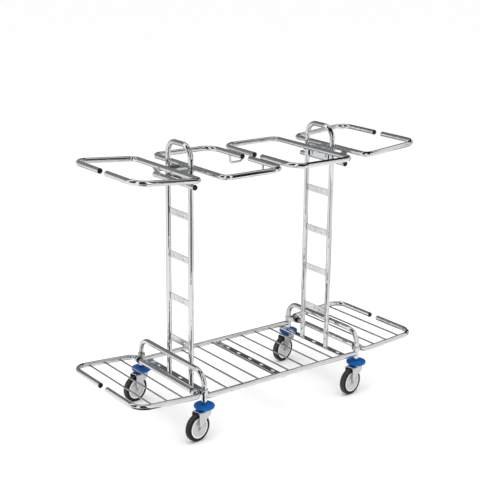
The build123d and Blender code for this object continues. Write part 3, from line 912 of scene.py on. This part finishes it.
def fork_sheet(trail, axle_z, low, crown):
    """Pressed fork as one bent sheet. Across it runs an upside-down U: up one cheek, round a bend, over the
    crown and down the other cheek. Along it the cheeks' lower edge follows the round axle end, axle height
    less the root of the end's radius squared less the reach from the axle squared, and then the straight
    line that touches it up to the crown's front, and the plan closes in a circle round the swivel."""
    end_r, lip = axle_z - low, crown - CROWN_H
    back, front = trail + end_r, CROWN_FRONT
    # The stations along the fork lie closer together at its two ends
    phase = np.linspace(0, 1, 48)
    x = -back + (back + front) * (1 - np.cos(phase * pi * 0.86)) / (1 - np.cos(pi * 0.86))
    slope_x, slope_z = front + trail, lip - axle_z
    lean = np.arctan2(slope_z, slope_x) - np.arcsin(end_r / np.hypot(slope_x, slope_z))
    touch_x = -trail + end_r * np.sin(lean)
    round_end = axle_z - np.sqrt(np.maximum(end_r ** 2 - (x + trail) ** 2, 0))
    line = lip + (x - front) * np.tan(lean)
    edge = np.where(x < touch_x, round_end, line)
    half = np.minimum(FORK_W / 2, np.sqrt(np.maximum(HEAD_R ** 2 - np.maximum(x, 0) ** 2, 1e-8)))
    bend = np.minimum(FORK_BEND, 0.8 * half)[:, None]
    half, edge, x = half[:, None], edge[:, None], x[:, None]
    climb = np.linspace(0, 1, 14)[None]
    turn = np.linspace(0, pi / 2, 9)[None, 1:]
    cross = np.linspace(-1, 1, 9)[None, 1:-1]
    y_up, z_up = -half + 0 * climb, edge + (crown - bend - edge) * climb
    y_bend, z_bend = -half + bend * (1 - np.cos(turn)), crown - bend + bend * np.sin(turn)
    y_top, z_top = (half - bend) * cross, crown + 0 * cross * half
    y = np.hstack([y_up, y_bend, y_top, -y_bend[:, ::-1], -y_up[:, ::-1]])
    z = np.hstack([z_up, z_bend, z_top, z_bend[:, ::-1], z_up[:, ::-1]])
    return np.stack([x + 0 * y, y, z], -1)


def fork_pieces(corner):
    """The pressed fork, with its sheet thickened inwards, and the swivel race in its crown."""
    base, hub, ahead, along = castor_axes(corner)
    body = f"castor_{corner}"
    crown = JOINT[f"{corner}_swivel"]["pos_m"][2]
    low = span(f"castor_fork_{corner}")[0][2]
    sheet = fork_sheet(float((base - hub) @ ahead), float(hub[2]), low, crown)
    grid = sheet_grid(sheet @ np.stack([ahead, along, (0, 0, 1)]) + base)
    fork = piece(f"fork_{corner}", [grid], ZINC, body, "zinc", f"castor_fork_{corner}", crease=60)
    wall = fork.modifiers.new("wall", "SOLIDIFY")
    wall.thickness = FORK_T
    wall.offset = -1.0
    wall.use_even_offset = True
    soften(fork, FORK_EDGE, 50)
    hole = KING_PIN_R + SWIVEL_CLEAR
    race = rounded(
        [(hole, -FORK_T), (HEAD_R - 0.001, -FORK_T), (HEAD_R, -FORK_T / 2), (HEAD_R, 0.0), (hole, 0.0)],
        [0.0004, 0.0006, 0.0008],
    )
    piece(f"race_{corner}", [lathe(race + [0, crown], base, (0, 0, 1), sides=56)], ZINC, body, "zinc")


def axle_piece(corner):
    """Axle bolt: a washer on each cheek, the head, the nut and the bolt's tip, with the bush in the fork."""
    _, hub, _, along = castor_axes(corner)
    face = along * FORK_W / 2
    seat = along * (FORK_W / 2 + WASHER_T)
    tip = rounded([(AXLE_R, 0), (AXLE_R, AXLE_TIP), (AXIS_GAP, AXLE_TIP)], [0.0007])
    bolt = [
        lathe(WASHER, hub - face, -along, sides=40),
        hex_head(AXLE_HEX, AXLE_HEAD, hub - seat, -along),
        lathe(WASHER, hub + face, along, sides=40),
        hex_head(AXLE_HEX, AXLE_NUT, hub + seat, along),
        lathe(tip, hub + face, along, sides=24),
        lathe([(BUSH_R, -BUSH_HALF), (BUSH_R, BUSH_HALF)], hub, along, sides=32),
    ]
    piece(f"axle_bolt_{corner}", bolt, BOLT_STEEL, f"castor_{corner}", "bolt_steel", f"castor_axle_{corner}")


def wheel_pieces(corner):
    """Wheel centre and tyre: closed profiles, alike on both sides, turned about the axle. The finishes follow
    the reach from the axle."""
    _, hub, _, along = castor_axes(corner)
    body = f"wheel_{corner}"
    half = rounded(WHEEL_HALF, WHEEL_ROUNDING)[:-1]
    rim = np.vstack([half * (1, -1), half[::-1]])
    sides = 72
    centre = lathe(rim, hub, along, sides, loop=True)
    piece(f"wheel_centre_{corner}", [centre], GREY, body, "grey_plastic", f"castor_wheel_{corner}",
          reach=np.repeat(rim[:, 0], sides))
    half = rounded(TYRE_HALF, TYRE_ROUNDING)
    band = np.vstack([half[:-1] * (1, -1), half[::-1]])
    sides = 96
    tyre = lathe(band, hub, along, sides, loop=True)
    piece(f"tyre_{corner}", [tyre], TYRE, body, "tyre", f"castor_tyre_{corner}",
          reach=np.repeat(band[:, 0], sides))


def castors():
    """On each corner the fork with its race, the axle bolt with nut and bush, the wheel centre and tyre."""
    for corner in CORNERS:
        fork_pieces(corner)
        axle_piece(corner)
        wheel_pieces(corner)


# Nodes that keep their own shape

def flats():
    """Flat bars, plates, brackets and bolts keep the shape of their nodes, with a finish and a soft edge."""
    kept = ("crossbar", "rungs", "hanger", "corner_brackets", "holder_straps", "foot_bolts")
    for name, node in frame["nodes"].items():
        if name.startswith(kept):
            node.data.materials.clear()
            node.data.materials.append(BOLT_STEEL if name.startswith("foot_bolts") else FLAT_CHROME)
            weld = node.modifiers.new("weld", "WELD")
            weld.merge_threshold = NODE_MERGE
            soften(node, FLAT_EDGE, 40)


rings()
frame_tubes()
wires()
welds()
black_trim()
stems_and_bumpers()
castors()
flats()


# Studio

def plain(name, colour):
    """A plain matt surface of one colour."""
    material = bpy.data.materials.new(name)
    material.use_nodes = True
    shader = material.node_tree.nodes["Principled BSDF"]
    shader.inputs["Base Color"].default_value = (*colour, 1)
    shader.inputs["Roughness"].default_value = 0.9
    shader.inputs["Specular IOR Level"].default_value = 0.0
    return material


def board(name, corners, material, mirrored_only=True):
    """A flat studio board; a card for the reflections is seen by mirror rays alone."""
    mesh = bpy.data.meshes.new(name)
    mesh.from_pydata(corners, [], [list(range(len(corners)))])
    mesh.materials.append(material)
    made = bpy.data.objects.new(name, mesh)
    bpy.context.scene.collection.objects.link(made)
    if mirrored_only:
        made.visible_camera = False
        made.visible_diffuse = False
        made.visible_shadow = False
        made.visible_transmission = False
        made.visible_volume_scatter = False


def lying_card(name, material, outline, z=CARD_LIFT):
    """Level card from its outline in X and Y, just over the floor or at another height."""
    board(name, [(x, y, z) for x, y in outline], material)


def oblong(x, y):
    """Outline over a range of X and a range of Y."""
    (left, right), (front, back) = x, y
    return [(left, front), (right, front), (right, back), (left, back)]


def standing_card(name, material, x, y, z):
    """Upright card over a range of X and a range of Z."""
    board(name, [(across, y, up) for across, up in oblong(x, z)], material)


def floor_and_cards():
    """Pale floor, and the cards that put dark, pale and grey lines into the chrome."""
    ends = (-FLOOR_REACH, FLOOR_REACH)
    floor = [(x, y, 0.0) for x, y in oblong(x=ends, y=ends)]
    board("floor", floor, plain("pale_floor", (0.97, 0.97, 0.97)), mirrored_only=False)

    # The dark floor is a sector round the left upright, given by reaches and by bearings from +Y towards +X
    dim = plain("dim_room", (0.025, 0.025, 0.026))
    foot = middle("upright_left")[0]
    inner = [(1.8, 230.0), (1.8, 206.0), (2.0, 190.0), (2.0, 169.0), (2.0, 148.0)]
    outer = [(12.0, 148.0), (12.0, 190.0), (12.0, 230.0)]
    sector = [(foot + far * sin(radians(turn)), far * cos(radians(turn))) for far, turn in inner + outer]
    lying_card("dark_room_floor", dim, sector)
    # A dark card on the floor, seen in the chrome alone, stands in for the trolley's shadow: a painted
    # shadow.
    lying_card("dark_patch", dim, oblong(x=(-0.95, -0.45), y=(-1.00, -0.10)))
    standing_card("dark_flag", dim, x=(-0.03, 0.29), y=-0.60, z=(0.95, 1.60))
    standing_card("dark_edge", dim, x=(-0.21, 0.06), y=-0.36, z=(0.83, 0.93))
    lying_card("dark_roof", dim, oblong(x=(0.16, 0.49), y=(-0.41, -0.08)), z=1.10)

    pale = plain("pale_card", (0.9, 0.9, 0.9))
    wide, high = (-0.26, 1.60), 0.75
    standing_card("front_card", pale, x=wide, y=-0.80, z=(0.0, high))
    lying_card("front_shelf", pale, oblong(x=wide, y=(-0.80, -0.33)), z=high)
    standing_card("back_card", pale, x=(-3.00, -1.12), y=0.95, z=(0.0, 1.0))
    standing_card("right_front_card", pale, x=(0.30, 0.90), y=-0.60, z=(0.86, 1.40))
    over = [(0.80, -0.27), (1.00, -0.90), (1.85, -2.00), (2.90, -2.00), (1.50, -0.27)]
    lying_card("right_card", pale, over, z=1.50)

    grey = plain("grey_room", (0.24, 0.24, 0.245))
    lying_card("grey_floor_near", grey, oblong(x=(0.40, 0.80), y=(0.02, 0.45)))
    lying_card("grey_floor_far", grey, oblong(x=(0.20, 0.85), y=(0.70, 1.15)))
    lying_card("grey_floor_aside", grey, oblong(x=(1.50, 2.60), y=(-0.90, 0.60)))
    lying_card("grey_floor_behind", grey, [(0.04, 0.50), (0.18, 0.50), (0.18, 2.20), (-1.20, 2.20)])


def surround():
    """Even pale light all round. Mirror rays see a dim room instead: a bright sweep behind, a pale ceiling,
    three tall panes and three round lamps. Bearings are in degrees from +Y towards +X."""
    world = bpy.data.worlds.new("studio")
    bpy.context.scene.world = world
    world.use_nodes = True
    tree = world.node_tree
    way = Field(tree).node("TexCoord", {}, {}, "Generated")
    across, ahead, up = [way.node("SeparateXYZ", {}, {"Vector": way}, axis) for axis in "XYZ"]
    turn = way.math("MODULO", way.math("ARCTAN2", across, ahead) * (180 / pi) + 360.0, 360.0)

    def along(heading, height):
        """Cosine of the angle between the ray and a bearing raised by a height in degrees."""
        bearing, climb = radians(heading), radians(height)
        axis = (sin(bearing) * cos(climb), cos(bearing) * cos(climb), sin(climb))
        return way.node("VectorMath", {"operation": "DOT_PRODUCT"}, {0: way, 1: axis}, "Value")

    def within(heading, wide, soft=2.0):
        """One inside a range of bearings, falling to nothing over a soft edge."""
        return 1 - way.math("ABSOLUTE", turn - heading).step(wide, wide + soft)

    sweep = along(-12.0, 0.0).step(0.48, 0.85)
    side = along(125.0, 20.0).step(0.60, 0.85)
    walls = 0.03 + 0.10 * side + sweep * (0.24 + 0.40 * (1 - up.step(-0.10, 0.42)))
    rear = within(232.0, 80.0, 6.0) * (1 - up.step(0.97, 0.995))
    ceiling = up.step(0.69, 0.79) * ahead.step(-0.20, -0.05) * (1 - rear)
    room = walls * (1 - ceiling) + ceiling
    # Panes by bearing and half width, and lamps by bearing, height and half width
    panes = ((163.5, 13.5), (239.0, 11.0), (307.5, 7.5))
    lamps = ((84.0, 16.0, 8.0), (116.0, 14.0, 6.0), (57.0, 10.0, 6.0))
    glow = 1.4
    upright = up.step(-0.3, -0.2) * (1 - up.step(0.88, 0.92))
    for heading, wide in panes:
        room = room + glow * within(heading, wide) * upright
    for heading, height, wide in lamps:
        room = room + glow * along(heading, height).step(cos(radians(wide + 2)), cos(radians(wide)))
    mirrored = way.node("LightPath", {}, {}, "Is Glossy Ray")
    level = room * mirrored + 1.02 * (1 - mirrored)
    background = tree.nodes["Background"]
    tree.links.new(level.socket, background.inputs["Strength"])
    background.inputs["Color"].default_value = (1, 1, 1, 1)


def overhead_light():
    """One broad soft lamp above the front left, which the chrome doesn't mirror."""
    light = bpy.data.lights.new("overhead", "AREA")
    light.shape = "RECTANGLE"
    light.size = 2.6
    light.size_y = 2.6
    light.energy = 36.0
    lamp = bpy.data.objects.new("overhead", light)
    lamp.location = (-0.6, -0.5, 3.0)
    lamp.visible_glossy = False
    aim = Vector((0, 0, 0.4)) - lamp.location
    lamp.rotation_euler = aim.to_track_quat("-Z", "Y").to_euler()
    bpy.context.scene.collection.objects.link(lamp)


def camera():
    """Camera at the photograph's place: heading, dip and a slight roll give the three axes of its matrix."""
    heading, dip, roll = radians(CAMERA_HEADING), radians(CAMERA_DIP), radians(CAMERA_ROLL)
    ahead = np.array([sin(heading) * cos(dip), cos(heading) * cos(dip), -sin(dip)])
    level = np.array([cos(heading), -sin(heading), 0.0])
    upright = np.cross(level, ahead)
    right = level * cos(roll) + upright * sin(roll)
    up = upright * cos(roll) - level * sin(roll)
    lens = bpy.data.cameras.new("camera")
    lens.sensor_width = SENSOR_MM
    lens.lens = SENSOR_MM * FOCAL_PX / PHOTO_PX
    lens.clip_end = 200.0
    made = bpy.data.objects.new("camera", lens)
    turn = Matrix(np.stack([right, up, -ahead], 1).tolist()).to_4x4()
    made.matrix_world = Matrix.Translation(CAMERA_AT) @ turn
    bpy.context.scene.collection.objects.link(made)
    bpy.context.scene.camera = made
    bpy.context.scene.view_settings.view_transform = "Standard"


floor_and_cards()
surround()
overhead_light()
camera()
